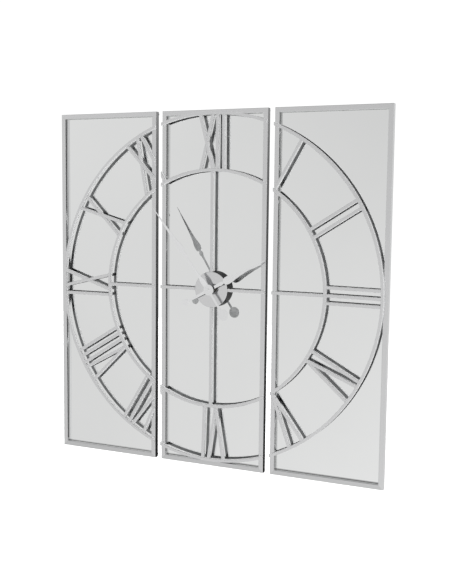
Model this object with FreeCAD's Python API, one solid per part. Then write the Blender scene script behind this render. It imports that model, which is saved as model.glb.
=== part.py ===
import FreeCAD, Part
import math
import os

# Mirror clock: three framed mirror panels side by side, with an open dial of
# square bar on their front faces, a hub cup, two hands and a quartz movement.
# Millimetres. +X right, +Z up, front faces -Y, the wall is the plane Y = 0.
# The origin is the dial centre projected on the wall.

# ---------------------------------------------------------------- dimensions
PANEL_W = 384.0          # width of one panel
PANEL_H = 1200.0         # height of the panels
PANEL_GAP = 24.0         # clear gap between neighbouring panels
WALL_GAP = 5.0           # bumper height, wall to the frames' rear faces
TUBE_W = 16.0            # frame tube, seen from the front
TUBE_D = 20.0            # frame tube, front to back
TUBE_T = 1.25            # frame tube wall
TUBE_R = 1.2             # outer corner radius of the tube
GLASS_T = 3.0            # mirror glass
GLASS_SET_BACK = 14.0    # frame front face to the glass face
BOARD_T = 3.0            # backing board
PLAY = 0.5               # glass and board to the tubes, each side
DIAL_RISE = 6.0          # dial centre above the middle of the panels
BAR = 10.0               # square bar of rings, cross and numerals
BAR_CHAMFER = 0.8
OUTER_R = 583.0          # outer ring, centre line
INNER_R = 397.0          # inner ring, centre line
HUB_R = 60.0
HUB_T = 1.2
ACCESS_R = 50.0          # hole through glass and board behind the hub
HUB_FACE_Y = -37.0       # hub, movement and hands are laid out here, then
CLOCK_SHIFT = 2.0        # moved this far towards the wall
CASE = 56.0              # movement case, square
CASE_WALL = 1.4

BACK_Y = -WALL_GAP                       # rear face of the frames
FRONT_Y = BACK_Y - TUBE_D                # front face of the frames
GLASS_Y = FRONT_Y + GLASS_SET_BACK       # front face of the glass
BOARD_Y = GLASS_Y + GLASS_T              # front face of the backing board
BAR_Y0 = FRONT_Y - BAR                   # front face of the dial bars
BAR_Y1 = FRONT_Y                         # the bars sit on the frames

HALF_H = PANEL_H / 2.0
TOTAL_W = 3 * PANEL_W + 2 * PANEL_GAP
PANELS = {
    "left": (-TOTAL_W / 2.0, -TOTAL_W / 2.0 + PANEL_W),
    "centre": (-PANEL_W / 2.0, PANEL_W / 2.0),
    "right": (TOTAL_W / 2.0 - PANEL_W, TOTAL_W / 2.0),
}

os.makedirs("parts", exist_ok=True)
V = FreeCAD.Vector


# ------------------------------------------------------------------- helpers
def box(x0, x1, y0, y1, z0, z1):
    return Part.makeBox(x1 - x0, y1 - y0, z1 - z0, V(x0, y0, z0))


def cyl(r, y0, y1, x=0.0, z=0.0):
    return Part.makeCylinder(r, y1 - y0, V(x, y0, z), V(0, 1, 0))


def tube(ro, ri, y0, y1, x=0.0, z=0.0):
    return cyl(ro, y0, y1, x, z).cut(cyl(ri, y0 - 1.0, y1 + 1.0, x, z))


def plate(points, y0, y1):
    """Extrude a closed outline of (x, z) points along Y."""
    loop = [V(x, y0, z) for x, z in points]
    wire = Part.makePolygon(loop + [loop[0]])
    return Part.Face(wire).extrude(V(0, y1 - y0, 0))


def solids(shape, least=1.0):
    return [s for s in shape.Solids if s.Volume > least]


def export(name, shapes, shift=0.0):
    flat = []
    for s in shapes if isinstance(shapes, (list, tuple)) else [shapes]:
        flat += s.Solids
    for s in flat:
        if not s.isValid():
            print("invalid solid in", name)
    shape = flat[0] if len(flat) == 1 else Part.makeCompound(flat)
    if shift:
        shape = shape.translated(V(0, shift, 0))
    shape.exportStep("parts/%s.step" % name)
    bb = shape.BoundBox
    print("%-28s %3d solid(s)  x %.1f..%.1f  y %.1f..%.1f  z %.1f..%.1f" % (
        name, len(flat), bb.XMin, bb.XMax, bb.YMin, bb.YMax, bb.ZMin, bb.ZMax))


# ------------------------------------------------------------ frames, mirrors
def rounded_loop(a0, a1, b0, b1, r, to3d):
    """Face of a rectangle with rounded corners, placed by to3d(a, b)."""
    k = r * (1.0 - math.sqrt(0.5))
    pts = [
        ((a0 + r, b0), (a1 - r, b0), (a1 - k, b0 + k), (a1, b0 + r)),
        ((a1, b0 + r), (a1, b1 - r), (a1 - k, b1 - k), (a1 - r, b1)),
        ((a1 - r, b1), (a0 + r, b1), (a0 + k, b1 - k), (a0, b1 - r)),
        ((a0, b1 - r), (a0, b0 + r), (a0 + k, b0 + k), (a0 + r, b0)),
    ]
    edges = []
    for p, q, m, e in pts:
        edges.append(Part.makeLine(to3d(*p), to3d(*q)))
        edges.append(Part.Arc(to3d(*q), to3d(*m), to3d(*e)).toShape())
    return Part.Face(Part.Wire(edges))


def hollow_tube(x0, x1, z0, z1, along):
    """Square tube with rounded edges, along 'x' or 'z', ends square."""
    t = TUBE_T
    if along == "z":
        outer = rounded_loop(x0, x1, FRONT_Y, BACK_Y, TUBE_R, lambda a, b: V(a, b, z0))
        inner = rounded_loop(x0 + t, x1 - t, FRONT_Y + t, BACK_Y - t, 0.4, lambda a, b: V(a, b, z0))
        run = V(0, 0, z1 - z0)
    else:
        outer = rounded_loop(z0, z1, FRONT_Y, BACK_Y, TUBE_R, lambda a, b: V(x0, b, a))
        inner = rounded_loop(z0 + t, z1 - t, FRONT_Y + t, BACK_Y - t, 0.4, lambda a, b: V(x0, b, a))
        run = V(x1 - x0, 0, 0)
    return outer.extrude(run).cut(inner.extrude(run))


SCREW_R = 1.5
SCREW_HEAD_R = 2.9
CLIP_T = 1.0
CLIP_Z = (-480.0, 0.0, 480.0)
PLATE_T = 1.2
PLATE_X = 110.0           # hanger plates, either side of the panel's middle
PLATE_LEN = 44.0
PLATE_WID = 14.0
PLATE_FOOT = 10.0

rear_screws = []
clips = []
hangers = []
bumpers = []


def screw(x, z, y_seat, depth):
    head = cyl(SCREW_HEAD_R, y_seat, y_seat + 1.6, x, z)
    head = head.makeChamfer(0.5, [e for e in head.Edges
                                  if abs(e.BoundBox.YMin - (y_seat + 1.6)) < 1e-6
                                  and abs(e.BoundBox.YMax - (y_seat + 1.6)) < 1e-6])
    slot_a = box(x - 1.8, x + 1.8, y_seat + 0.9, y_seat + 2.0, z - 0.35, z + 0.35)
    slot_b = box(x - 0.35, x + 0.35, y_seat + 0.9, y_seat + 2.0, z - 1.8, z + 1.8)
    return head.cut(slot_a).cut(slot_b).fuse(cyl(SCREW_R, y_seat - depth, y_seat, x, z)).removeSplitter()


for panel, (x0, x1) in PANELS.items():
    names = {
        "left": ("left_outer_stile", "left_inner_stile"),
        "centre": ("centre_left_stile", "centre_right_stile"),
        "right": ("right_inner_stile", "right_outer_stile"),
    }[panel]
    w = TUBE_W
    zt, zb = HALF_H - DIAL_RISE, -HALF_H - DIAL_RISE
    stile_a = hollow_tube(x0, x0 + w, zb, zt, "z").common(
        plate([(x0, zb), (x0, zt), (x0 + w, zt - w), (x0 + w, zb + w)], FRONT_Y - 1, BACK_Y + 1))
    stile_b = hollow_tube(x1 - w, x1, zb, zt, "z").common(
        plate([(x1, zb), (x1, zt), (x1 - w, zt - w), (x1 - w, zb + w)], FRONT_Y - 1, BACK_Y + 1))
    top = hollow_tube(x0, x1, zt - w, zt, "x").common(
        plate([(x0, zt), (x1, zt), (x1 - w, zt - w), (x0 + w, zt - w)], FRONT_Y - 1, BACK_Y + 1))
    bottom = hollow_tube(x0, x1, zb, zb + w, "x").common(
        plate([(x0, zb), (x1, zb), (x1 - w, zb + w), (x0 + w, zb + w)], FRONT_Y - 1, BACK_Y + 1))

    gx0, gx1 = x0 + w + PLAY, x1 - w - PLAY
    gz0, gz1 = zb + w + PLAY, zt - w - PLAY
    glass = box(gx0, gx1, GLASS_Y, BOARD_Y, gz0, gz1)
    glass = glass.makeChamfer(0.5, [e for e in glass.Edges
                                    if e.BoundBox.YLength < 1e-6
                                    and abs(e.BoundBox.YMin - GLASS_Y) < 1e-6])
    board = box(gx0, gx1, BOARD_Y, BACK_Y, gz0, gz1)
    if panel == "centre":
        glass = glass.cut(cyl(ACCESS_R, GLASS_Y - 1, BOARD_Y + 1))
        board = board.cut(cyl(ACCESS_R, BOARD_Y - 1, BACK_Y + 1))

    # flat clips bridge from the tube to the board, one screw in each
    for side, stile_name in ((1, "a"), (-1, "b")):
        edge = x0 if side == 1 else x1
        for zc in CLIP_Z:
            xa, xb = sorted((edge + side * 2.5, edge + side * 31.0))
            clip = box(xa, xb, BACK_Y, BACK_Y + CLIP_T, zc - 6.0, zc + 6.0)
            corner = [e for e in clip.Edges if abs(e.BoundBox.YLength - CLIP_T) < 1e-6]
            clip = clip.makeFillet(2.5, corner)
            for k, xs in enumerate((edge + side * 8.0, edge + side * 25.0)):
                hole = cyl(SCREW_R, BACK_Y - 2.6, BACK_Y + 3.0, xs, zc)
                clip = clip.cut(hole)
                rear_screws.append(screw(xs, zc, BACK_Y + CLIP_T, 3.6))
                if k == 1:
                    board = board.cut(hole)
                elif stile_name == "a":
                    stile_a = stile_a.cut(hole)
                else:
                    stile_b = stile_b.cut(hole)
            clips.append(clip)

    # raised keyhole plates on the top rail
    mid = (x0 + x1) / 2.0
    for xc in (mid - PLATE_X, mid + PLATE_X):
        h = WALL_GAP - 0.3
        a, f, t = PLATE_LEN / 2.0, PLATE_FOOT, PLATE_T
        ya = BACK_Y
        prof = [(-a, ya), (-a + f + t, ya), (-a + f + t + 2.0, ya + h - t), (a - f - t - 2.0, ya + h - t),
                (a - f - t, ya), (a, ya), (a, ya + t), (a - f, ya + t), (a - f - 2.0, ya + h),
                (-a + f + 2.0, ya + h), (-a + f, ya + t), (-a, ya + t)]
        zc = zt - w / 2.0
        loop = [V(xc + px, py, zc - PLATE_WID / 2.0) for px, py in prof]
        hat = Part.Face(Part.makePolygon(loop + [loop[0]])).extrude(V(0, 0, PLATE_WID))
        key = cyl(4.2, ya + 1.0, ya + h + 1.0, xc, zc - 1.6)
        key = key.fuse(box(xc - 2.1, xc + 2.1, ya + 1.0, ya + h + 1.0, zc - 1.6, zc + 3.0))
        key = key.fuse(cyl(2.1, ya + 1.0, ya + h + 1.0, xc, zc + 3.0))
        hat = hat.cut(key)
        for xs in (xc - a + 5.0, xc + a - 5.0):
            hole = cyl(SCREW_R, BACK_Y - 4.0, BACK_Y + 3.0, xs, zc)
            hat = hat.cut(hole)
            top = top.cut(hole)
            rear_screws.append(screw(xs, zc, BACK_Y + PLATE_T, 4.0))
        hangers.append(hat)

    for xc in (x0 + w / 2.0, x1 - w / 2.0):
        for zc in (zt - w / 2.0, zb + w / 2.0):
            pad = cyl(6.5, BACK_Y, 0.0, xc, zc)
            rim = [e for e in pad.Edges if e.BoundBox.YLength < 1e-6 and abs(e.BoundBox.YMin) < 1e-6]
            bumpers.append(pad.makeFillet(1.2, rim))

    export(names[0], stile_a)
    export(names[1], stile_b)
    export(panel + "_top_rail", top)
    export(panel + "_bottom_rail", bottom)
    export(panel + "_mirror_glass", glass)
    export(panel + "_backing_board", board)

export("retaining_clips", clips)
export("rear_screws", rear_screws)
export("hanger_plates", hangers)
export("wall_bumpers", bumpers)

# ------------------------------------------------------------- dial metalwork
H = BAR / 2.0
C = BAR_CHAMFER
PANEL_BOX = {k: box(a, b, BAR_Y0 - 5, BAR_Y1 + 5, -700, 700) for k, (a, b) in PANELS.items()}


def ring(radius):
    """Full ring of square bar, front edges chamfered."""
    prof = [(radius - H, BAR_Y1), (radius + H, BAR_Y1), (radius + H, BAR_Y0 + C),
            (radius + H - C, BAR_Y0), (radius - H + C, BAR_Y0), (radius - H, BAR_Y0 + C)]
    loop = [V(x, y, 0) for x, y in prof]
    face = Part.Face(Part.makePolygon(loop + [loop[0]]))
    return face.revolve(V(0, 0, 0), V(0, 1, 0), 360)


def bar_between(p, q, over=0.0, plain=False, grow=0.0):
    """Straight bar from p to q, both (x, z), lengthened by 'over' at both ends."""
    d = V(q[0] - p[0], 0, q[1] - p[1])
    length = d.Length
    d.normalize()
    n = V(d.z, 0, -d.x)
    start = V(p[0], 0, p[1]) - d * over
    if plain:
        prof = [(-H - grow, BAR_Y1 + 1), (H + grow, BAR_Y1 + 1), (H + grow, BAR_Y0 - 1), (-H - grow, BAR_Y0 - 1)]
    else:
        prof = [(-H, BAR_Y1), (H, BAR_Y1), (H, BAR_Y0 + C), (H - C, BAR_Y0), (-H + C, BAR_Y0), (-H, BAR_Y0 + C)]
    loop = [start + n * a + V(0, b, 0) for a, b in prof]
    return Part.Face(Part.makePolygon(loop + [loop[0]])).extrude(d * (length + 2 * over))


R_IN = INNER_R + H        # outside of the inner ring
R_OUT = OUTER_R - H       # inside of the outer ring
ANNULUS = cyl(R_OUT, BAR_Y0 - 5, BAR_Y1 + 5).cut(cyl(R_IN, BAR_Y0 - 6, BAR_Y1 + 6))


def dial_point(hour, along, offset):
    """Point at 'along' on the hour's radius, moved clockwise by 'offset'."""
    t = math.radians(30.0 * hour)
    return (along * math.sin(t) + offset * math.cos(t), along * math.cos(t) - offset * math.sin(t))


def stroke(hour, inner, outer, plain=False):
    a = dial_point(hour, R_IN, inner)
    b = dial_point(hour, R_OUT, outer)
    return bar_between(a, b, 30.0, plain)


# Numerals, tops outward, read clockwise. Each stroke is (inner offset, outer
# offset) in mm from the hour's radius, clockwise positive. A crossing stroke
# lists the stroke it is cut by.
NUMERALS = {
    "numeral_01": (1, [(26.0, 24.5)], []),
    "numeral_02": (2, [(-8.1, -13.9), (20.1, 14.3)], []),
    "numeral_03": (3, [(-26.0, -23.5), (-0.5, 1.9), (24.3, 26.7)], []),
    "numeral_04": (4, [(-22.0, -26.0), (14.4, -9.5), (14.4, 50.5)], [(2, 1)]),
    "numeral_05": (5, [(-27.0, -47.4), (-27.0, 4.6)], [(1, 0)]),
    "numeral_06": (6, [(-19.0, -49.4), (-19.0, 5.9), (22.5, 27.5)], [(1, 0)]),
    "numeral_07": (7, [(-15.0, -34.0), (-8.0, 17.5), (30.5, 32.4), (54.8, 57.9)], [(1, 0)]),
    "numeral_08": (8, [(-23.4, -69.2), (-22.4, -17.0), (7.2, 0.4), (29.4, 26.3), (52.0, 48.1)], [(1, 0)]),
    "numeral_09": (9, [(-38.1, -38.4), (31.2, -10.9), (-17.4, 41.8)], [(2, 1)]),
    "numeral_10": (10, [(17.2, -28.0), (-28.8, 19.8)], [(1, 0)]),
    "numeral_11": (11, [(-1.0, -42.4), (-57.5, 4.8), (26.0, 21.5)], [(1, 0)]),
    "numeral_12": (0, [(0.4, -46.0), (-41.6, 1.4), (16.8, 17.6), (40.8, 39.6)], [(1, 0)]),
}

outer_ring = ring(OUTER_R)
inner_ring = ring(INNER_R)
export("left_outer_ring_arc", outer_ring.common(PANEL_BOX["left"]))
export("left_inner_ring_arc", inner_ring.common(PANEL_BOX["left"]))
export("centre_outer_ring_arcs", outer_ring.common(PANEL_BOX["centre"]))
export("centre_inner_ring_arcs", inner_ring.common(PANEL_BOX["centre"]))
export("right_outer_ring_arc", outer_ring.common(PANEL_BOX["right"]))
export("right_inner_ring_arc", inner_ring.common(PANEL_BOX["right"]))

inside = cyl(INNER_R - H, BAR_Y0 - 5, BAR_Y1 + 5).cut(cyl(HUB_R, BAR_Y0 - 6, BAR_Y1 + 6))
across = bar_between((-INNER_R, 0), (INNER_R, 0)).common(inside)
upright = bar_between((0, -INNER_R), (0, INNER_R)).common(inside)
export("left_cross_bar", across.common(PANEL_BOX["left"]))
export("right_cross_bar", across.common(PANEL_BOX["right"]))
export("centre_cross_bars", [upright, across.common(PANEL_BOX["centre"])])

for name, (hour, strokes, cuts) in sorted(NUMERALS.items()):
    bars = [stroke(hour, a, b).common(ANNULUS) for a, b in strokes]
    for cut, by in cuts:
        a, b = strokes[by]
        bars[cut] = bars[cut].cut(stroke(hour, a, b, plain=True))
    pieces = []
    for b in bars:
        for pb in PANEL_BOX.values():
            pieces += solids(b.common(pb), 40.0)
    export(name, pieces)

# ------------------------------------------------------------------------ hub
CUP_END = GLASS_Y - CLOCK_SHIFT
cup = cyl(HUB_R, HUB_FACE_Y, CUP_END)
cup = cup.makeFillet(1.5, [e for e in cup.Edges
                           if e.BoundBox.YLength < 1e-6 and abs(e.BoundBox.YMin - HUB_FACE_Y) < 1e-6])
cup = cup.cut(cyl(HUB_R - HUB_T, HUB_FACE_Y + HUB_T, CUP_END + 1))
cup = cup.cut(cyl(4.9, HUB_FACE_Y - 1, HUB_FACE_Y + HUB_T + 1))
export("hub_cup", cup, CLOCK_SHIFT)

# ------------------------------------------------------------------- movement
FRONT_WALL = HUB_FACE_Y + HUB_T          # outside of the case's front wall
IN_FRONT = FRONT_WALL + 1.2              # inside of the front wall
SPLIT_Y = -28.3
REAR_WALL = -19.8                        # outside of the rear wall
IN_REAR = REAR_WALL - 1.2                # inside of the rear wall
BUSH_R = 4.75
BUSH_BORE = 2.62
BUSH_END = -46.8
PIPE_R = 2.55
PIPE_BORE = 1.75
PIPE_END = -52.0
ARBOR_R = 1.65
ARBOR_END = -59.0
PIVOT_R = 0.40
PIVOT_HOLE = 0.46

M_WORK = 0.5                             # motion work
A_WORK = M_WORK * (10 + 30) / 2.0
A_THIRD = 11.0                           # minute and seconds wheels to the third wheel
M_MIN = A_THIRD * 2.0 / (60 + 8)
M_SEC = A_THIRD * 2.0 / (64 + 8)
M_INT = 0.32
A_INT = M_INT * (60 + 10) / 2.0
M_ROT = 0.25
A_ROT = M_ROT * (50 + 10) / 2.0


def polar(cx, cz, dist, deg):
    return (cx + dist * math.cos(math.radians(deg)), cz + dist * math.sin(math.radians(deg)))


DIR_MOTION = 180.0
DIR_KNOB = 215.0
DIR_THIRD = 30.0
DIR_INT = 120.0
DIR_ROT = 180.0
P_MOTION = polar(0, 0, A_WORK, DIR_MOTION)
P_KNOB = polar(P_MOTION[0], P_MOTION[1], A_WORK, DIR_KNOB)
P_THIRD = polar(0, 0, A_THIRD, DIR_THIRD)
P_INT = polar(0, 0, A_INT, DIR_INT)
P_ROT = polar(P_INT[0], P_INT[1], A_ROT, DIR_ROT)


def gear(n, m, y0, y1, centre, phase, slim=0.155, tip=0.07, add=0.72, ded=1.15):
    """Straight-flanked wheel; 'phase' is the angle of one tooth's middle, in degrees."""
    rp = m * n / 2.0
    ro, rr = rp + add * m, rp - ded * m
    pitch = 360.0 / n
    pts = []
    for i in range(n):
        c = phase + i * pitch
        for r, k in ((rr, -2.0 * slim + 0.06), (ro, -tip), (ro, tip), (rr, 2.0 * slim - 0.06)):
            a = math.radians(c + k * pitch)
            pts.append((centre[0] + r * math.cos(a), centre[1] + r * math.sin(a)))
    return plate(pts, y0, y1)


def mesh_phase(n_a, phase_a, n_b, direction):
    """Tooth phase of wheel b so that it meshes with wheel a, b lying towards 'direction'."""
    pa, pb = 360.0 / n_a, 360.0 / n_b
    s = ((phase_a - direction) / pa) % 1.0
    return direction + 180.0 + (0.5 - s) * pb


PH_MIN_PINION = 0.0
PH_MOTION = mesh_phase(10, PH_MIN_PINION, 30, DIR_MOTION)
PH_MOTION_PINION = 10.0
PH_HOUR = mesh_phase(8, PH_MOTION_PINION, 32, DIR_MOTION + 180.0)
PH_KNOB = mesh_phase(30, PH_MOTION, 10, DIR_KNOB)
PH_MIN_WHEEL = 0.0
PH_THIRD_PINION = mesh_phase(60, PH_MIN_WHEEL, 8, DIR_THIRD)
PH_THIRD = 2.0
PH_SEC_PINION = mesh_phase(64, PH_THIRD, 8, DIR_THIRD + 180.0)
PH_SEC = 1.0
PH_INT_PINION = mesh_phase(60, PH_SEC, 10, DIR_INT)
PH_INT = 3.0
PH_ROT_PINION = mesh_phase(50, PH_INT, 10, DIR_ROT)


def case_block(y0, y1, inset=0.0):
    h = CASE / 2.0 - inset
    b = box(-h, h, y0, y1, -h, h)
    return b.makeFillet(3.0 - inset, [e for e in b.Edges if abs(e.BoundBox.YLength - (y1 - y0)) < 1e-6])


front = case_block(FRONT_WALL, SPLIT_Y).cut(case_block(IN_FRONT, SPLIT_Y + 1.0, CASE_WALL))
front = front.fuse(cyl(BUSH_R, BUSH_END, FRONT_WALL))
front = front.fuse(cyl(7.0, HUB_FACE_Y + HUB_T, FRONT_WALL + 0.6))
front = front.fuse(box(-26.8, 26.8, IN_FRONT - 0.2, SPLIT_Y, -11.4, -10.6))
front = front.fuse(cyl(0.6, IN_FRONT - 0.2, -31.2, *P_MOTION))
STATOR_Y = (-29.8, -29.2)
BOARD_YR = (-33.6, -32.8)
for px, pz in ((-22.8, 18.0), (-8.9, 18.0), (-22.0, 6.2)):
    front = front.fuse(cyl(1.0, IN_FRONT - 0.2, STATOR_Y[0], px, pz))
for px, pz in ((-3.5, 17.5), (21.5, 17.5), (21.5, 23.0)):
    front = front.fuse(cyl(1.0, IN_FRONT - 0.2, BOARD_YR[0], px, pz))
front = front.cut(cyl(BUSH_BORE, BUSH_END - 1, FRONT_WALL + 5))
for pt in (P_THIRD, P_INT, P_ROT):
    front = front.cut(cyl(PIVOT_HOLE, IN_FRONT - 0.6, IN_FRONT + 1, *pt))
# shallow thread grooves on the bush
for i in range(8):
    y = BUSH_END + 0.9 + i * 0.85
    front = front.cut(tube(BUSH_R + 1, BUSH_R - 0.22, y, y + 0.35))
front = front.removeSplitter()
export("movement_front_case", front, CLOCK_SHIFT)

rear = case_block(SPLIT_Y, REAR_WALL).cut(case_block(SPLIT_Y - 1.0, IN_REAR, CASE_WALL))
rear = rear.fuse(box(-26.8, 26.8, SPLIT_Y, IN_REAR + 0.2, -11.4, -10.6))
rear = rear.cut(box(-25.9, 25.9, IN_REAR - 1, REAR_WALL + 1, -26.5, -12.0))
rear = rear.cut(cyl(1.58, IN_REAR - 1, REAR_WALL + 1, *P_KNOB))
for pt in ((0.0, 0.0), P_THIRD, P_INT, P_ROT):
    rear = rear.cut(cyl(PIVOT_HOLE, IN_REAR - 1, IN_REAR + 0.6, *pt))
rear = rear.removeSplitter()
export("movement_rear_case", rear, CLOCK_SHIFT)

battery = Part.makeCylinder(7.1, 49.2, V(-25.3, -27.45, -19.25), V(1, 0, 0))
battery = battery.makeFillet(0.6, [e for e in battery.Edges if e.BoundBox.XLength < 1e-6])
battery = battery.fuse(Part.makeCylinder(2.6, 1.2, V(23.9, -27.45, -19.25), V(1, 0, 0)))
export("battery", battery, CLOCK_SHIFT)

pcb = box(-6.0, 24.0, BOARD_YR[0], BOARD_YR[1], 14.6, 25.4)
chip = cyl(2.6, BOARD_YR[1], BOARD_YR[1] + 0.9, 6.0, 20.0)
crystal = Part.makeCylinder(1.0, 6.0, V(12.0, BOARD_YR[1] + 1.0, 20.5), V(1, 0, 0))
export("circuit_board", [pcb, chip, crystal], CLOCK_SHIFT)

stator = plate([(-24.5, 5.0), (-7.2, 5.0), (-7.2, 25.0), (-10.6, 25.0), (-10.6, 15.6),
                (-21.0, 15.6), (-21.0, 25.0), (-24.5, 25.0)], *STATOR_Y)
stator = stator.cut(cyl(3.4, STATOR_Y[0] - 1, STATOR_Y[1] + 1, *P_ROT))
core = box(-24.5, -7.2, STATOR_Y[1], STATOR_Y[1] + 1.2, 21.2, 24.4)
winding = Part.makeCylinder(3.1, 8.6, V(-20.1, STATOR_Y[1] + 0.6, 22.8), V(1, 0, 0))
flange_a = Part.makeCylinder(3.4, 0.6, V(-20.7, STATOR_Y[1] + 0.6, 22.8), V(1, 0, 0))
flange_b = Part.makeCylinder(3.4, 0.6, V(-11.5, STATOR_Y[1] + 0.6, 22.8), V(1, 0, 0))
winding = winding.cut(core)
export("motor_coil", [stator, core, winding, flange_a.cut(core), flange_b.cut(core)], CLOCK_SHIFT)

rotor = cyl(PIVOT_R, IN_FRONT - 0.5, IN_REAR + 0.5, *P_ROT)
rotor = rotor.fuse(cyl(3.0, -30.9, -28.1, *P_ROT))
rotor = rotor.fuse(gear(10, M_ROT, -25.3, -23.8, P_ROT, PH_ROT_PINION)).removeSplitter()
export("rotor", rotor, CLOCK_SHIFT)

inter = cyl(PIVOT_R, IN_FRONT - 0.5, IN_REAR + 0.5, *P_INT)
inter = inter.fuse(gear(10, M_INT, -27.3, -25.8, P_INT, PH_INT_PINION))
inter = inter.fuse(gear(50, M_ROT, -25.0, -24.0, P_INT, PH_INT))
inter = inter.fuse(cyl(1.1, -25.9, -24.9, *P_INT)).removeSplitter()
export("intermediate_wheel", inter, CLOCK_SHIFT)

seconds = cyl(PIVOT_R, -31.2, IN_REAR + 0.5)
seconds = seconds.fuse(gear(8, M_SEC, -29.3, -27.8, (0, 0), PH_SEC_PINION))
seconds = seconds.fuse(gear(60, M_INT, -27.0, -26.0, (0, 0), PH_SEC))
seconds = seconds.fuse(cyl(0.8, -27.9, -26.9)).removeSplitter()
export("seconds_wheel", seconds, CLOCK_SHIFT)

third = cyl(PIVOT_R, IN_FRONT - 0.5, IN_REAR + 0.5, *P_THIRD)
third = third.fuse(gear(8, M_MIN, -31.3, -29.7, P_THIRD, PH_THIRD_PINION))
third = third.fuse(gear(64, M_SEC, -29.0, -28.0, P_THIRD, PH_THIRD))
third = third.fuse(cyl(0.8, -29.8, -28.9, *P_THIRD)).removeSplitter()
export("third_wheel", third, CLOCK_SHIFT)

minute = cyl(ARBOR_R, ARBOR_END, -29.8)
minute = minute.fuse(gear(10, M_WORK, -33.0, -31.6, (0, 0), PH_MIN_PINION))
minute = minute.fuse(gear(60, M_MIN, -31.0, -30.0, (0, 0), PH_MIN_WHEEL))
for k in range(5):
    hx, hz = polar(0, 0, 5.6, 36.0 + 72.0 * k)
    minute = minute.cut(cyl(2.1, -31.5, -29.5, hx, hz))
minute = minute.cut(cyl(PIVOT_HOLE, -31.6, -29.0)).removeSplitter()
export("minute_wheel", minute, CLOCK_SHIFT)

motion = gear(30, M_WORK, -32.8, -31.8, P_MOTION, PH_MOTION)
motion = motion.fuse(gear(8, M_WORK, -34.3, -32.7, P_MOTION, PH_MOTION_PINION))
for k in range(4):
    hx, hz = polar(P_MOTION[0], P_MOTION[1], 4.4, 45.0 + 90.0 * k)
    motion = motion.cut(cyl(1.3, -33.0, -31.0, hx, hz))
motion = motion.cut(cyl(0.66, -35.0, -31.0, *P_MOTION)).removeSplitter()
export("motion_wheel", motion, CLOCK_SHIFT)

hour = gear(32, M_WORK, -34.4, -33.2, (0, 0), PH_HOUR)
hour = hour.fuse(cyl(PIPE_R, PIPE_END, -34.3))
hour = hour.cut(cyl(PIPE_BORE, PIPE_END - 1, -33.0)).removeSplitter()
export("hour_wheel", hour, CLOCK_SHIFT)

knob = cyl(1.5, -32.0, -19.4, *P_KNOB)
knob = knob.fuse(gear(10, M_WORK, -32.9, -31.7, P_KNOB, PH_KNOB))
grip = cyl(5.6, -19.5, -15.6, *P_KNOB)
for k in range(12):
    hx, hz = polar(P_KNOB[0], P_KNOB[1], 5.9, 30.0 * k)
    grip = grip.cut(cyl(0.8, -18.6, -15.0, hx, hz))
knob = knob.fuse(grip).removeSplitter()
export("setting_knob", knob, CLOCK_SHIFT)

NUT_AF = 15.0
nut = plate([polar(0, 0, NUT_AF / math.sqrt(3.0), 30.0 + 60.0 * k) for k in range(6)], HUB_FACE_Y - 2.6, HUB_FACE_Y)
nut = nut.common(cyl(NUT_AF / math.sqrt(3.0) - 0.35, HUB_FACE_Y - 4, HUB_FACE_Y + 1)).cut(cyl(BUSH_R, -50, -30))
export("bush_nut", nut, CLOCK_SHIFT)

# ---------------------------------------------------------------------- hands
HOUR_ANGLE = 62.0        # clockwise from twelve, as in the picture
MINUTE_ANGLE = -34.6
SHEET = 1.2


def outline(keys, step=3.0):
    """Smooth half-width profile through (distance, half width) keys."""
    out = []
    for (s0, w0), (s1, w1) in zip(keys, keys[1:]):
        n = max(1, int(round((s1 - s0) / step)))
        for i in range(n):
            t = i / float(n)
            u = t * t * (3 - 2 * t) if (w1 > w0) or s0 < 160 else t
            out.append((s0 + t * (s1 - s0), w0 + (w1 - w0) * u))
    out.append(keys[-1])
    return out


def to_dial(s, w, deg):
    a = math.radians(deg)
    return (s * math.sin(a) + w * math.cos(a), s * math.cos(a) - w * math.sin(a))


def blade_prism(keys, deg, y0, y1):
    prof = outline(keys)
    pts = [to_dial(s, w, deg) for s, w in prof] + [to_dial(s, -w, deg) for s, w in reversed(prof)]
    return plate(pts, y0, y1)


MINUTE_KEYS = [(-82, 3.8), (-6, 4.2), (0, 9.0), (34, 8.8), (56, 4.4), (74, 3.5), (116, 3.4), (128, 4.6), (138, 7.4), (145, 6.0), (149, 3.0),
               (150.5, 4.6), (153, 9.2), (160, 11.4), (168, 12.0), (178, 10.8), (190, 8.0), (206, 5.8),
               (236, 4.1), (282, 2.3), (330, 0.5)]
HOUR_KEYS = [(-90, 3.6), (0, 5.4), (25, 5.0), (38, 5.0), (47, 6.4), (53, 5.4), (57.5, 3.0), (59, 4.8), (62, 10.0),
             (70, 12.7), (79, 13.2), (90, 11.6), (106, 8.5), (126, 5.9), (152, 3.8), (187, 2.2), (227, 0.5)]

HOUR_Y = (-51.1, -49.9)
hour_hand = blade_prism(HOUR_KEYS, HOUR_ANGLE, *HOUR_Y)
hx, hz = to_dial(-100.0, 0.0, HOUR_ANGLE)
hour_hand = hour_hand.fuse(cyl(13.0, HOUR_Y[0], HOUR_Y[1], hx, hz))
hour_hand = hour_hand.fuse(cyl(17.0, HOUR_Y[0], HOUR_Y[1]))
hour_hand = hour_hand.fuse(cyl(4.6, -51.9, -48.4)).cut(cyl(PIPE_R, -60, -40)).removeSplitter()
export("hour_hand", hour_hand, CLOCK_SHIFT)

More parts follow.
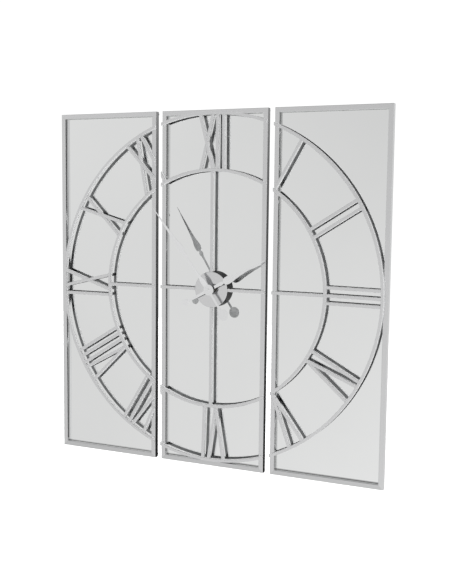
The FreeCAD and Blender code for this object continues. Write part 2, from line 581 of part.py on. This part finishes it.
# the minute blade is cranked forward from the boss
MINUTE_Y = (-58.2, -57.0)
CRANK_FROM = 18.0
CRANK_DEG = 8.0
rise = (345.0 - CRANK_FROM) * math.tan(math.radians(CRANK_DEG))
section = [(-120.0, MINUTE_Y[1]), (CRANK_FROM, MINUTE_Y[1]), (345.0, MINUTE_Y[1] - rise),
           (345.0, MINUTE_Y[0] - rise), (CRANK_FROM, MINUTE_Y[0]), (-120.0, MINUTE_Y[0])]
strip = []
for s, y in section:
    x, z = to_dial(s, -30.0, MINUTE_ANGLE)
    strip.append(V(x, y, z))
x1, z1 = to_dial(0.0, 60.0, MINUTE_ANGLE)
strip = Part.Face(Part.makePolygon(strip + [strip[0]])).extrude(V(x1, 0, z1))
minute_hand = blade_prism(MINUTE_KEYS, MINUTE_ANGLE, -115.0, -50.0).common(strip)
hx, hz = to_dial(-98.0, 0.0, MINUTE_ANGLE)
minute_hand = minute_hand.fuse(cyl(18.5, MINUTE_Y[0], MINUTE_Y[1], hx, hz))
minute_hand = minute_hand.fuse(cyl(18.0, MINUTE_Y[0], MINUTE_Y[1]))
boss = cyl(4.0, -60.2, -55.6)
boss = boss.makeFillet(0.8, [e for e in boss.Edges
                             if e.BoundBox.YLength < 1e-6 and abs(e.BoundBox.YMin + 60.2) < 1e-6])
minute_hand = minute_hand.fuse(boss).cut(cyl(ARBOR_R, ARBOR_END, -50)).removeSplitter()
export("minute_hand", minute_hand, CLOCK_SHIFT)
print("files:", len([f for f in os.listdir("parts") if f.endswith(".step")]))
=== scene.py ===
import math

import bmesh
import bpy
from mathutils import Matrix, Vector

# Looks of the mirror clock: three framed mirror panels, an open dial of
# bright bar, a polished hub, two hands and a quartz movement behind the hub.
# Metres. +X right, +Z up, the front faces -Y, the wall is the plane Y = 0.

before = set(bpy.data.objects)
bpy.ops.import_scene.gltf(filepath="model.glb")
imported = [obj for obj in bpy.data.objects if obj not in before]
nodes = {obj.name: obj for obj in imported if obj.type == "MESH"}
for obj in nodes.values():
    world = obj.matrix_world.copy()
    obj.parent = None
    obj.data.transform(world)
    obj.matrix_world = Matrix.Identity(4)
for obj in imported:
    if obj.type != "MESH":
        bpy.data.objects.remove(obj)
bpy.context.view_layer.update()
scene = bpy.context.scene

# ------------------------------------------------------------------ dimensions
FRONT_Y = -0.025          # front face of the frames
GLASS_Y = -0.011          # front face of the mirrors
BAR_Y = -0.035            # front face of the dial bars
TUBE_W = 0.016
HALF = 0.600
GAP_X = (0.192, 0.216)    # the two gaps between panels, mirrored left and right


# --------------------------------------------------------------- node helpers
class Mat:
    """A node material being built: add() makes a node, link() joins sockets."""

    def __init__(self, name):
        self.m = bpy.data.materials.new(name)
        self.m.use_nodes = True
        self.t = self.m.node_tree
        self.t.nodes.clear()
        self.out = self.t.nodes.new("ShaderNodeOutputMaterial")
        self.bsdf = self.t.nodes.new("ShaderNodeBsdfPrincipled")
        self.t.links.new(self.bsdf.outputs["BSDF"], self.out.inputs["Surface"])
        self._coord = None

    def add(self, kind, **props):
        n = self.t.nodes.new(kind)
        for k, v in props.items():
            setattr(n, k, v)
        return n

    def link(self, a, b):
        self.t.links.new(a, b)

    def coord(self):
        if self._coord is None:
            self._coord = self.add("ShaderNodeTexCoord")
        return self._coord

    def mapped(self, scale, rotation=(0, 0, 0), location=(0, 0, 0)):
        mp = self.add("ShaderNodeMapping")
        mp.inputs["Scale"].default_value = scale
        mp.inputs["Rotation"].default_value = rotation
        mp.inputs["Location"].default_value = location
        self.link(self.coord().outputs["Object"], mp.inputs["Vector"])
        return mp.outputs["Vector"]

    def noise(self, scale, detail=3.0, rough=0.55, vector=None, distortion=0.0):
        n = self.add("ShaderNodeTexNoise")
        n.inputs["Scale"].default_value = scale
        n.inputs["Detail"].default_value = detail
        n.inputs["Roughness"].default_value = rough
        n.inputs["Distortion"].default_value = distortion
        self.link(vector if vector is not None else self.coord().outputs["Object"], n.inputs["Vector"])
        return n.outputs["Fac"]

    def ramp(self, value, lo, hi, out_lo=0.0, out_hi=1.0):
        r = self.add("ShaderNodeMapRange")
        r.clamp = True
        r.inputs["From Min"].default_value = lo
        r.inputs["From Max"].default_value = hi
        r.inputs["To Min"].default_value = out_lo
        r.inputs["To Max"].default_value = out_hi
        self.link(value, r.inputs["Value"])
        return r.outputs["Result"]

    def math(self, op, a, b=None):
        n = self.add("ShaderNodeMath", operation=op)
        for s, v in zip(n.inputs, (a, b)):
            if v is None:
                continue
            if isinstance(v, (int, float)):
                s.default_value = v
            else:
                self.link(v, s)
        return n.outputs["Value"]

    def mix(self, fac, a, b):
        """Colour mix; a and b are colours or sockets, fac a socket or number."""
        n = self.add("ShaderNodeMix", data_type="RGBA")
        for s, v in ((n.inputs[0], fac), (n.inputs[6], a), (n.inputs[7], b)):
            if isinstance(v, (int, float)):
                s.default_value = v
            elif isinstance(v, (tuple, list)):
                s.default_value = (v[0], v[1], v[2], 1.0)
            else:
                self.link(v, s)
        return n.outputs[2]

    def split(self, vector):
        n = self.add("ShaderNodeSeparateXYZ")
        self.link(vector, n.inputs[0])
        return n.outputs

    def bump(self, height, strength, distance):
        b = self.add("ShaderNodeBump")
        b.inputs["Strength"].default_value = strength
        b.inputs["Distance"].default_value = distance
        self.link(height, b.inputs["Height"])
        self.link(b.outputs["Normal"], self.bsdf.inputs["Normal"])
        return b

    def set(self, **values):
        for k, v in values.items():
            self.bsdf.inputs[k.replace("_", " ")].default_value = v


def shade(base, k):
    return tuple(max(0.0, min(1.0, c * k)) for c in base)


def satin_metal(name, base, rough=0.20, back=None, grain=(900.0, 900.0, 900.0), turn=0.0, inner=None, painted_side_shade=None, painted_side_light=None):
    """Satin-polished plated metal. 'back' is a dark colour painted on the faces
    turned to the wall, as painted shade. 'inner' is (axis, sign) of a frame tube's
    inner side, whose shading normal a bump tilts a little open towards the front.
    The two side-wall colour arguments, one dark and one pale, paint duller side walls: the dark one painted shade, the
    pale one painted light."""
    m = Mat(name)
    soft = m.noise(5.0, 4.0, 0.6)
    fine = m.noise(1.0, 2.0, 0.5, m.mapped(grain, (0.0, turn, 0.0)))
    both = m.math("ADD", m.math("MULTIPLY", soft, 0.6), m.math("MULTIPLY", fine, 0.4))
    colour = m.mix(m.ramp(both, 0.30, 0.70), shade(base, 0.965), shade(base, 1.03))
    rough_out = m.ramp(both, 0.25, 0.75, rough - 0.035, rough + 0.035)
    metal = None
    normal = m.split(m.coord().outputs["Normal"])
    # Painted shade: faces turned to the wall (towards the mirror) get a dark colour, mottled at random.
    if back is not None:
        mask = m.ramp(normal[1], 0.55, 0.80)
        back_shade_mottle = m.noise(60.0, 3.0, 0.6)
        colour = m.mix(mask, colour, m.mix(m.ramp(back_shade_mottle, 0.35, 0.65), shade(back, 0.85), shade(back, 1.15)))
        rough_out = m.math("ADD", rough_out, m.math("MULTIPLY", mask, 0.10))
    tilt = None
    if inner is not None:
        axis, sign = inner
        mask = m.ramp(normal[axis], 0.62 * sign, 0.90 * sign)
        pos = m.split(m.coord().outputs["Object"])
        fold = m.math("MINIMUM", m.math("SUBTRACT", pos[1], -0.0155), 0.0)
        tilt = m.math("MULTIPLY", mask, m.math("MULTIPLY", fold, math.tan(math.radians(11.0))))
        rough_out = m.math("SUBTRACT", rough_out, m.math("MULTIPLY", mask, 0.10))
    # Painted shade: side walls (faces turned neither front nor back) get a near-black, duller colour.
    if painted_side_shade is not None:
        mask = m.math("SUBTRACT", 1.0, m.ramp(m.math("ABSOLUTE", normal[1]), 0.45, 0.80))
        colour = m.mix(mask, colour, painted_side_shade)
        rough_out = m.math("ADD", rough_out, m.math("MULTIPLY", mask, 0.30))
        metal = m.math("SUBTRACT", 1.0, m.math("MULTIPLY", mask, 0.90))
        m.set(Specular_IOR_Level=0.15)
    # Painted light: side walls get a paler colour, rougher and less metallic, so they read lighter.
    if painted_side_light is not None:
        mask = m.math("SUBTRACT", 1.0, m.ramp(m.math("ABSOLUTE", normal[1]), 0.45, 0.80))
        colour = m.mix(mask, colour, painted_side_light)
        rough_out = m.math("ADD", rough_out, m.math("MULTIPLY", mask, 0.32))
        metal = m.math("SUBTRACT", 1.0, m.math("MULTIPLY", mask, 0.80))
    m.link(colour, m.bsdf.inputs["Base Color"])
    m.link(rough_out, m.bsdf.inputs["Roughness"])
    if metal is None:
        m.set(Metallic=1.0)
    else:
        m.link(metal, m.bsdf.inputs["Metallic"])
    if tilt is None:
        m.bump(fine, 0.02, 0.00002)
    else:
        m.bump(m.math("ADD", tilt, m.math("MULTIPLY", fine, 0.0000004)), 1.0, 1.0)
    return m.m


def mirror_material():
    m = Mat("silvered_glass")
    normal = m.split(m.coord().outputs["Normal"])
    haze = m.noise(3.0, 4.0, 0.6)
    face = m.mix(m.ramp(haze, 0.3, 0.7), (0.895, 0.902, 0.898), (0.912, 0.918, 0.914))
    edge = m.ramp(normal[1], -0.95, -0.60)
    colour = m.mix(edge, face, (0.52, 0.60, 0.57))
    rear = m.ramp(normal[1], 0.5, 0.9)
    paint = m.mix(m.ramp(m.noise(140.0, 3.0), 0.35, 0.65), (0.20, 0.21, 0.22), (0.26, 0.27, 0.28))
    colour = m.mix(rear, colour, paint)
    m.link(colour, m.bsdf.inputs["Base Color"])
    m.link(m.math("SUBTRACT", 1.0, m.math("MULTIPLY", rear, 0.95)), m.bsdf.inputs["Metallic"])
    smudge = m.noise(9.0, 5.0, 0.65, distortion=0.4)
    m.link(m.math("ADD", m.ramp(smudge, 0.55, 0.85, 0.004, 0.020), m.math("MULTIPLY", rear, 0.5)), m.bsdf.inputs["Roughness"])
    return m.m


def board_material():
    m = Mat("pressed_fibreboard")
    fibre = m.noise(1.0, 6.0, 0.7, m.mapped((420.0, 420.0, 150.0)), 0.6)
    cloud = m.noise(7.0, 4.0, 0.55)
    flecks = m.noise(520.0, 2.0, 0.5)
    base = m.mix(m.ramp(cloud, 0.3, 0.7), (0.225, 0.145, 0.088), (0.300, 0.200, 0.125))
    base = m.mix(m.ramp(fibre, 0.40, 0.68), base, (0.385, 0.275, 0.180))
    base = m.mix(m.ramp(flecks, 0.66, 0.74), base, (0.110, 0.070, 0.045))
    m.link(base, m.bsdf.inputs["Base Color"])
    m.link(m.ramp(fibre, 0.3, 0.7, 0.66, 0.82), m.bsdf.inputs["Roughness"])
    m.bump(fibre, 0.35, 0.0004)
    return m.m


def plated_material(name, base, spangle=90.0, rough=0.34):
    m = Mat(name)
    v = m.add("ShaderNodeTexVoronoi")
    v.inputs["Scale"].default_value = spangle
    m.link(m.coord().outputs["Object"], v.inputs["Vector"])
    tone = m.split(v.outputs["Color"])[0]
    grime = m.noise(40.0, 4.0, 0.6)
    colour = m.mix(m.ramp(tone, 0.0, 1.0), shade(base, 0.90), shade(base, 1.06))
    colour = m.mix(m.ramp(grime, 0.58, 0.80, 0.0, 0.5), colour, shade(base, 0.62))
    m.link(colour, m.bsdf.inputs["Base Color"])
    m.link(m.ramp(grime, 0.3, 0.7, rough - 0.06, rough + 0.08), m.bsdf.inputs["Roughness"])
    m.set(Metallic=1.0)
    m.bump(grime, 0.08, 0.00005)
    return m.m


def moulded_material(name, base, rough=0.48, grain=2600.0, bump=0.25, mottled=0.04):
    """Moulded plastic with a fine spark-eroded grain."""
    m = Mat(name)
    g = m.noise(grain, 2.0, 0.5)
    cloud = m.noise(30.0, 3.0, 0.5)
    colour = m.mix(m.ramp(cloud, 0.3, 0.7), shade(base, 1.0 - mottled), shade(base, 1.0 + mottled))
    m.link(colour, m.bsdf.inputs["Base Color"])
    m.link(m.ramp(g, 0.3, 0.7, rough - 0.05, rough + 0.06), m.bsdf.inputs["Roughness"])
    m.bump(g, bump, 0.00006)
    return m.m


def rubber_material():
    m = Mat("black_rubber")
    g = m.noise(1700.0, 3.0, 0.6)
    dust = m.noise(160.0, 4.0, 0.6)
    colour = m.mix(m.ramp(dust, 0.55, 0.80), (0.020, 0.020, 0.021), (0.062, 0.060, 0.057))
    m.link(colour, m.bsdf.inputs["Base Color"])
    m.link(m.ramp(g, 0.3, 0.7, 0.66, 0.82), m.bsdf.inputs["Roughness"])
    m.bump(g, 0.4, 0.0001)
    return m.m


def turned_brass(name="turned_brass"):
    m = Mat(name)
    pos = m.split(m.coord().outputs["Object"])
    rings = m.add("ShaderNodeTexWave", wave_type="BANDS", bands_direction="Y")
    rings.inputs["Scale"].default_value = 900.0
    rings.inputs["Distortion"].default_value = 1.5
    rings.inputs["Detail"].default_value = 2.0
    m.link(m.coord().outputs["Object"], rings.inputs["Vector"])
    tarnish = m.noise(220.0, 4.0, 0.6)
    colour = m.mix(m.ramp(tarnish, 0.40, 0.75), (0.80, 0.62, 0.30), (0.58, 0.42, 0.19))
    m.link(colour, m.bsdf.inputs["Base Color"])
    m.link(m.ramp(tarnish, 0.3, 0.7, 0.20, 0.36), m.bsdf.inputs["Roughness"])
    m.set(Metallic=1.0)
    m.bump(rings.outputs["Fac"], 0.12, 0.00003)
    return m.m


def battery_material():
    """Plain metallic sleeve with a dark shoulder band and a bare steel cap, by position along the cell."""
    m = Mat("battery_sleeve")
    pos = m.split(m.coord().outputs["Object"])
    scuff = m.noise(1.0, 4.0, 0.6, m.mapped((60.0, 900.0, 900.0)))
    sleeve = m.mix(m.ramp(scuff, 0.35, 0.70), (0.42, 0.43, 0.45), (0.56, 0.57, 0.59))
    band = m.math("MULTIPLY", m.ramp(pos[0], 0.0085, 0.0087), m.math("SUBTRACT", 1.0, m.ramp(pos[0], 0.0232, 0.0234)))
    colour = m.mix(band, sleeve, (0.030, 0.032, 0.036))
    ends = m.math("ADD", m.ramp(pos[0], 0.0236, 0.0238), m.math("SUBTRACT", 1.0, m.ramp(pos[0], -0.0249, -0.0247)))
    colour = m.mix(ends, colour, (0.66, 0.66, 0.65))
    m.link(colour, m.bsdf.inputs["Base Color"])
    m.link(m.math("SUBTRACT", 1.0, m.math("MULTIPLY", band, 0.8)), m.bsdf.inputs["Metallic"])
    m.link(m.ramp(scuff, 0.3, 0.7, 0.24, 0.38), m.bsdf.inputs["Roughness"])
    m.bump(scuff, 0.05, 0.00004)
    return m.m


def laminate_material():
    m = Mat("paper_laminate")
    weave = m.noise(1.0, 4.0, 0.6, m.mapped((700.0, 700.0, 2400.0)))
    b = m.add("ShaderNodeTexBrick")
    b.inputs["Scale"].default_value = 260.0
    b.inputs["Color1"].default_value = (0.0, 0.0, 0.0, 1)
    b.inputs["Color2"].default_value = (0.0, 0.0, 0.0, 1)
    b.inputs["Mortar"].default_value = (1.0, 1.0, 1.0, 1)
    b.inputs["Mortar Size"].default_value = 0.06
    m.link(m.mapped((1.0, 1.0, 1.0), (math.radians(90), 0, 0)), b.inputs["Vector"])
    base = m.mix(m.ramp(weave, 0.35, 0.65), (0.27, 0.165, 0.060), (0.36, 0.235, 0.095))
    base = m.mix(b.outputs["Fac"], base, (0.60, 0.45, 0.22))
    m.link(base, m.bsdf.inputs["Base Color"])
    m.link(m.ramp(weave, 0.3, 0.7, 0.28, 0.40), m.bsdf.inputs["Roughness"])
    m.bump(weave, 0.1, 0.00004)
    return m.m


def coil_material():
    m = Mat("wound_copper")
    w = m.add("ShaderNodeTexWave", wave_type="BANDS", bands_direction="X")
    w.inputs["Scale"].default_value = 1800.0
    w.inputs["Distortion"].default_value = 0.6
    m.link(m.coord().outputs["Object"], w.inputs["Vector"])
    drift = m.noise(300.0, 3.0, 0.6)
    colour = m.mix(m.ramp(drift, 0.3, 0.7), (0.60, 0.25, 0.11), (0.78, 0.38, 0.20))
    m.link(colour, m.bsdf.inputs["Base Color"])
    m.link(m.ramp(drift, 0.3, 0.7, 0.24, 0.38), m.bsdf.inputs["Roughness"])
    m.set(Metallic=1.0)
    m.bump(w.outputs["Fac"], 0.5, 0.00006)
    return m.m


# ------------------------------------------------------------------ materials
CHROME = (0.722, 0.724, 0.729)
# Painted shade: dark colour for the dial bars' faces turned to the mirror.
BAR_BACK_SHADE = (0.235, 0.237, 0.242)

# Dial bars: painted shade on faces turned to the mirror, painted light on the side walls.
dial_metal = satin_metal("dial_bar_satin", (0.735, 0.737, 0.742), 0.17, back=BAR_BACK_SHADE, painted_side_light=(0.780, 0.782, 0.786))
frame_mats = {
    "left": satin_metal("frame_tube_left", CHROME, 0.18, inner=(0, 1)),
    "right": satin_metal("frame_tube_right", CHROME, 0.18, inner=(0, -1)),
    "top": satin_metal("frame_tube_top", CHROME, 0.18),
    # Painted shade: the bottom rails use the same chrome painted 10% darker.
    "bottom": satin_metal("frame_tube_bottom_painted_shade", shade(CHROME, 0.90), 0.18),
}
HOUR_ANGLE, MINUTE_ANGLE = math.radians(62.0), math.radians(-34.6)
# Hands: the darker colours on faces turned to the wall are painted shade.
hand_mats = {
    "hour_hand": satin_metal("hour_hand_satin", (0.900, 0.903, 0.908), 0.20, back=(0.640, 0.643, 0.650),
                             grain=(2600.0, 2600.0, 60.0), turn=-HOUR_ANGLE),
    "minute_hand": satin_metal("minute_hand_satin", (0.872, 0.875, 0.880), 0.20, back=(0.540, 0.543, 0.550),
                               grain=(2600.0, 2600.0, 60.0), turn=-MINUTE_ANGLE),
}
# Hub: the cup's side wall is painted near-black as painted shade.
hub_metal = satin_metal("hub_polished", (0.735, 0.737, 0.742), 0.15, painted_side_shade=(0.012, 0.012, 0.013))
mirror = mirror_material()
board = board_material()
sheet = plated_material("zinc_sheet", (0.62, 0.62, 0.60))
screw = plated_material("zinc_screw", (0.56, 0.56, 0.55), 700.0, 0.30)
rubber = rubber_material()
case = moulded_material("case_black", (0.028, 0.028, 0.030), 0.46)
gear = moulded_material("gear_white", (0.80, 0.80, 0.76), 0.38, 1500.0, 0.10, 0.02)
knob = moulded_material("knob_red", (0.42, 0.045, 0.035), 0.42, 1800.0, 0.15)
magnet = moulded_material("rotor_dark", (0.085, 0.085, 0.095), 0.50, 3200.0, 0.3, 0.10)
brass = turned_brass()

SIDE_OF = {
    "left_outer_stile": "left", "left_inner_stile": "right", "centre_left_stile": "left",
    "centre_right_stile": "right", "right_inner_stile": "left", "right_outer_stile": "right",
}
PLAIN = {
    "hub_cup": hub_metal, "retaining_clips": sheet, "hanger_plates": sheet, "rear_screws": screw,
    "wall_bumpers": rubber, "movement_front_case": case, "movement_rear_case": case,
    "battery": battery_material(), "circuit_board": laminate_material(), "motor_coil": coil_material(),
    "rotor": magnet, "intermediate_wheel": gear, "seconds_wheel": gear, "third_wheel": gear,
    "motion_wheel": gear, "hour_wheel": gear, "minute_wheel": brass, "setting_knob": knob, "bush_nut": brass,
}


def material_for(name):
    if name in PLAIN:
        return PLAIN[name]
    if name in hand_mats:
        return hand_mats[name]
    if name in SIDE_OF:
        return frame_mats[SIDE_OF[name]]
    if name.endswith("_top_rail"):
        return frame_mats["top"]
    if name.endswith("_bottom_rail"):
        return frame_mats["bottom"]
    if name.endswith("_mirror_glass"):
        return mirror
    if name.endswith("_backing_board"):
        return board
    return dial_metal


for name, obj in nodes.items():
    obj.data.materials.clear()
    obj.data.materials.append(material_for(name))

# --------------------------------------------------------------------- camera
F_PX = 893.885
AZ, EL, ROLL = math.radians(24.4701), math.radians(5.7829), math.radians(0.6091)
CAM_AT = Vector((1.27731, -2.72031, 0.29349))
back = Vector((math.sin(AZ) * math.cos(EL), -math.cos(AZ) * math.cos(EL), math.sin(EL)))
right0 = Vector((math.cos(AZ), math.sin(AZ), 0.0))
up0 = back.cross(right0)
right = right0 * math.cos(ROLL) + up0 * math.sin(ROLL)
up = up0 * math.cos(ROLL) - right0 * math.sin(ROLL)
cam_data = bpy.data.cameras.new("camera")
cam = bpy.data.objects.new("camera", cam_data)
scene.collection.objects.link(cam)
cam.matrix_world = Matrix((
    (right.x, up.x, back.x, CAM_AT.x),
    (right.y, up.y, back.y, CAM_AT.y),
    (right.z, up.z, back.z, CAM_AT.z),
    (0.0, 0.0, 0.0, 1.0)))
cam_data.sensor_width = 36.0
cam_data.sensor_height = 36.0
cam_data.lens = 36.0 * F_PX / 584.0
cam_data.clip_start = 0.05
cam_data.clip_end = 100.0
scene.camera = cam

# ---------------------------------------------------------------------- stage
def plane(name, corners, material, **visible):
    me = bpy.data.meshes.new(name)
    bm = bmesh.new()
    bm.faces.new([bm.verts.new(c) for c in corners])
    bm.to_mesh(me)
    bm.free()
    ob = bpy.data.objects.new(name, me)
    me.materials.append(material)
    scene.collection.objects.link(ob)
    for k, v in visible.items():
        setattr(ob, "visible_" + k, v)
    return ob


def floor_material():
    m = Mat("pale_floor")
    n = m.noise(0.8, 3.0, 0.5)
    m.link(m.mix(n, (0.90, 0.90, 0.90), (0.93, 0.93, 0.93)), m.bsdf.inputs["Base Color"])
    m.set(Roughness=0.9)
    return m.m


FLOOR_Z = -1.45
plane("floor", [(-9, -9, FLOOR_Z), (9, -9, FLOOR_Z), (9, 9, FLOOR_Z), (-9, 9, FLOOR_Z)], floor_material(), glossy=False)


def painted_gap_shade_material():
    """Painted shade: a faintly glowing dark card behind a gap between panels, darker towards the floor, standing in for
    the shaded wall there; seen only by polished faces.
    """
    m = bpy.data.materials.new("painted_gap_shade_card")
    m.use_nodes = True
    t = m.node_tree
    t.nodes.clear()
    out = t.nodes.new("ShaderNodeOutputMaterial")
    em = t.nodes.new("ShaderNodeEmission")
    co = t.nodes.new("ShaderNodeTexCoord")
    sp = t.nodes.new("ShaderNodeSeparateXYZ")
    mr = t.nodes.new("ShaderNodeMapRange")
    mr.inputs["From Min"].default_value = -0.62
    mr.inputs["From Max"].default_value = 0.62
    cr = t.nodes.new("ShaderNodeValToRGB")
    stops = ((0.0, 0.020), (0.35, 0.040), (0.70, 0.110), (0.90, 0.22), (1.0, 0.36))
    cr.color_ramp.elements[0].position = stops[0][0]
    cr.color_ramp.elements[1].position = stops[-1][0]
    for p, _ in stops[1:-1]:
        cr.color_ramp.elements.new(p)
    for e, (p, v) in zip(cr.color_ramp.elements, stops):
        e.color = (v, v, v, 1.0)
    t.links.new(co.outputs["Object"], sp.inputs[0])
    t.links.new(sp.outputs[2], mr.inputs["Value"])
    t.links.new(mr.outputs[0], cr.inputs[0])
    t.links.new(cr.outputs["Color"], em.inputs["Color"])
    t.links.new(em.outputs[0], out.inputs["Surface"])
    return m


painted_gap_shade = painted_gap_shade_material()
# Painted shade cards behind the two gaps, hidden from the camera, from diffuse light and from shadows.
for side in (-1, 1):
    xa, xb = sorted((side * (GAP_X[0] - 0.012), side * (GAP_X[1] + 0.012)))
    plane("painted_gap_shade_" + ("left" if side < 0 else "right"),
          [(xa, 0.003, -0.66), (xb, 0.003, -0.66), (xb, 0.003, 0.66), (xa, 0.003, 0.66)],
          painted_gap_shade, camera=False, diffuse=False, shadow=False, transmission=False, volume_scatter=False)


def area(name, at, to, size, power):
    d = bpy.data.lights.new(name, "AREA")
    d.shape = "RECTANGLE"
    d.size, d.size_y = size
    d.energy = power
    ob = bpy.data.objects.new(name, d)
    scene.collection.objects.link(ob)
    ob.location = at
    ob.rotation_mode = "QUATERNION"
    ob.rotation_quaternion = (Vector(to) - Vector(at)).to_track_quat("-Z", "Y")
    ob.visible_glossy = False
    return ob


area("key", (1.8, -2.6, 3.2), (0, 0, 0), (2.4, 1.6), 60.0)
area("rear_fill", (-1.5, 3.0, 2.2), (0, 0, 0), (2.4, 1.6), 45.0)
sun_data = bpy.data.lights.new("top_wash", "SUN")
sun_data.energy = 3.0
sun_data.angle = math.radians(60.0)
sun = bpy.data.objects.new("top_wash", sun_data)
scene.collection.objects.link(sun)
sun.visible_glossy = False

# The room: a soft grey studio seen by the polished faces, plain white behind the object.
world = bpy.data.worlds.new("studio")
scene.world = world
world.use_nodes = True
wt = world.node_tree
wt.nodes.clear()


def wn(kind, **props):
    n = wt.nodes.new(kind)
    for k, v in props.items():
        setattr(n, k, v)
    return n


def wmath(op, a, b=None, clamp=False):
    n = wn("ShaderNodeMath", operation=op, use_clamp=clamp)
    for s, v in zip(n.inputs, (a, b)):
        if v is None:
            continue
        if isinstance(v, (int, float)):
            s.default_value = v
        else:
            wt.links.new(v, s)
    return n.outputs[0]


def wrange(v, a, b, c=0.0, d=1.0):
    n = wn("ShaderNodeMapRange", clamp=True, interpolation_type="SMOOTHSTEP")
    for s, x in zip(n.inputs[1:5], (a, b, c, d)):
        s.default_value = x
    wt.links.new(v, n.inputs[0])
    return n.outputs[0]


wc = wn("ShaderNodeTexCoord")
ws = wn("ShaderNodeSeparateXYZ")
wt.links.new(wc.outputs["Generated"], ws.inputs[0])
dx, dy, dz = ws.outputs
xf = wmath("MINIMUM", wmath("MAXIMUM", dx, -0.60), -0.20)
zf = wmath("MINIMUM", wmath("MAXIMUM", dz, -0.40), 0.40)
slope = wmath("SUBTRACT", wmath("MULTIPLY", xf, -1.35), 0.661)
front = wmath("DIVIDE", wmath("ADD", wmath("SUBTRACT", 0.627, wmath("MULTIPLY", xf, 0.11)), wmath("MULTIPLY", zf, slope)), 0.90)
rightward = wrange(dx, 0.05, 0.40)
front = wmath("ADD", front, wmath("MULTIPLY", rightward, 0.27))
flank = wmath("MULTIPLY", wrange(dx, 0.60, 0.68), wrange(dx, 0.84, 0.92, 1.0, 0.0))
flank = wmath("MULTIPLY", flank, wmath("MULTIPLY", wrange(dz, -0.36, -0.30), wrange(dz, 0.12, 0.20, 1.0, 0.0)))
flank = wmath("SUBTRACT", 1.0, wmath("MULTIPLY", flank, 0.90))
canopy = wmath("SUBTRACT", 1.0, wmath("MULTIPLY", wrange(dz, 0.50, 0.60), 0.75))
front = wmath("MULTIPLY", front, wmath("MULTIPLY", flank, canopy))
behind = wrange(dy, -0.10, 0.25)
level = wmath("ADD", wmath("MULTIPLY", front, wmath("SUBTRACT", 1.0, behind)), wmath("MULTIPLY", behind, 0.78))
rgb = wn("ShaderNodeCombineXYZ")
for i in range(3):
    wt.links.new(level, rgb.inputs[i])
studio = wn("ShaderNodeBackground")
wt.links.new(rgb.outputs[0], studio.inputs["Color"])
white = wn("ShaderNodeBackground")
white.inputs["Color"].default_value = (1.0, 1.0, 1.0, 1.0)
white.inputs["Strength"].default_value = 1.05
path = wn("ShaderNodeLightPath")
mixw = wn("ShaderNodeMixShader")
wt.links.new(path.outputs["Is Camera Ray"], mixw.inputs[0])
wt.links.new(studio.outputs[0], mixw.inputs[1])
wt.links.new(white.outputs[0], mixw.inputs[2])
wo = wn("ShaderNodeOutputWorld")
wt.links.new(mixw.outputs[0], wo.inputs["Surface"])

scene.view_settings.view_transform = "Standard"
scene.view_settings.look = "None"
scene.view_settings.exposure = 0.0
scene.view_settings.gamma = 1.0
